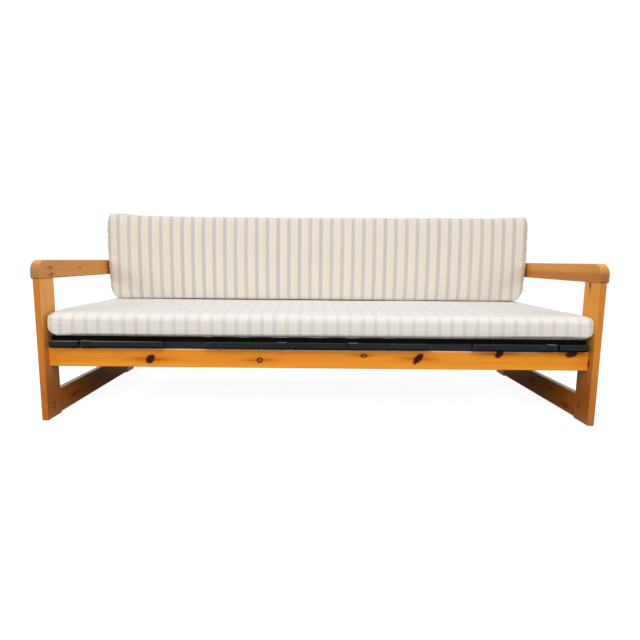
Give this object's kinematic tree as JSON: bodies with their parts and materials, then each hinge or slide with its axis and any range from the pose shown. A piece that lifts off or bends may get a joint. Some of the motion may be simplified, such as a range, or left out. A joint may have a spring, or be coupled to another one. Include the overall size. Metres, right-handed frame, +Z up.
{
  "type": "pull-out bench bed",
  "caption": "Pine bench bed with ladder side frames and arm rails; its steel seat frame slides forward on folding legs and carries a striped mattress and a loose back cushion.",
  "frame": {"origin": "on the floor, at the middle of the frame's width and depth", "axes": "+X to the right along the bench seen from the front, +Y to the rear, +Z up"},
  "size_m": [2.064, 0.85, 0.8069],
  "materials": {
    "pine": "satin",
    "slat_wood": "matte",
    "dowel_beech": "matte",
    "channel_steel": "satin",
    "black_steel": "satin",
    "black_skid": "matte",
    "bracket_steel": "satin",
    "zinc_fasteners": "satin",
    "pivot_steel": "satin",
    "nylon_pad": "matte",
    "cap_plastic": "matte",
    "seat_ticking": "matte",
    "back_ticking": "matte"
  },
  "bodies": {
    "pine_frame": {"left_front_post": "pine", "left_rear_post": "pine", "left_arm_rail": "pine", "left_floor_runner": "pine", "left_side_rail": "pine", "right_front_post": "pine", "right_rear_post": "pine", "right_arm_rail": "pine", "right_floor_runner": "pine", "right_side_rail": "pine", "front_rail": "pine", "rear_rail": "pine", "lower_back_board": "pine", "upper_back_board": "pine", "front_slat_ledger": "pine", "rear_slat_ledger": "pine", "base_slats": "slat_wood", "back_slats": "slat_wood", "rail_dowels": "dowel_beech", "arm_dowels": "dowel_beech", "left_guide_channel": "channel_steel", "right_guide_channel": "channel_steel", "channel_mouth_pads": "nylon_pad", "rail_bolts": "zinc_fasteners", "barrel_nuts": "zinc_fasteners", "ledger_screws": "zinc_fasteners", "slat_screws": "zinc_fasteners", "channel_screws": "zinc_fasteners"},
    "seat_frame": {"left_side_bar": "black_steel", "right_side_bar": "black_steel", "front_angle": "black_steel", "rear_angle": "black_steel", "cross_bar": "black_steel", "left_stub_tube": "black_steel", "centre_stub_tube": "black_steel", "right_stub_tube": "black_steel", "left_front_skid": "black_skid", "centre_front_skid": "black_skid", "right_front_skid": "black_skid", "left_outer_leg_bracket": "bracket_steel", "left_inner_leg_bracket": "bracket_steel", "right_outer_leg_bracket": "bracket_steel", "right_inner_leg_bracket": "bracket_steel", "side_bar_pads": "nylon_pad", "side_bar_caps": "cap_plastic", "seat_slats": "slat_wood", "slat_rivets": "zinc_fasteners", "leg_pivot_bolts": "pivot_steel", "leg_pivot_nuts": "pivot_steel"},
    "left_outer_leg": {"left_outer_leg": "black_steel", "left_outer_leg_cap": "cap_plastic"},
    "left_inner_leg": {"left_inner_leg": "black_steel", "left_inner_leg_cap": "cap_plastic"},
    "right_outer_leg": {"right_outer_leg": "black_steel", "right_outer_leg_cap": "cap_plastic"},
    "right_inner_leg": {"right_inner_leg": "black_steel", "right_inner_leg_cap": "cap_plastic"},
    "seat_mattress": {"seat_mattress": "seat_ticking"},
    "back_cushion": {"back_cushion": "back_ticking"}
  },
  "joints": [
    {"name": "seat_pull_out", "type": "slide", "parent": "pine_frame", "child": "seat_frame", "axis": [0, -1, 0], "range_m": [0, 0.4]},
    {"name": "left_outer_leg_fold", "type": "hinge", "parent": "seat_frame", "child": "left_outer_leg", "pos_m": [-0.855, -0.406, 0.2894], "axis": [0, 1, 0], "range_deg": [0, 90]},
    {"name": "left_inner_leg_fold", "type": "hinge", "parent": "seat_frame", "child": "left_inner_leg", "pos_m": [-0.13, -0.406, 0.2894], "axis": [0, -1, 0], "range_deg": [0, 90]},
    {"name": "right_outer_leg_fold", "type": "hinge", "parent": "seat_frame", "child": "right_outer_leg", "pos_m": [0.855, -0.406, 0.2894], "axis": [0, -1, 0], "range_deg": [0, 90]},
    {"name": "right_inner_leg_fold", "type": "hinge", "parent": "seat_frame", "child": "right_inner_leg", "pos_m": [0.13, -0.406, 0.2894], "axis": [0, 1, 0], "range_deg": [0, 90]},
    {"name": "mattress_lift", "type": "slide", "parent": "seat_frame", "child": "seat_mattress", "axis": [0, 0, 1], "range_m": [0, 0.25]},
    {"name": "cushion_lift", "type": "slide", "parent": "seat_mattress", "child": "back_cushion", "axis": [0, 0, 1], "range_m": [0, 0.3]}
  ]
}
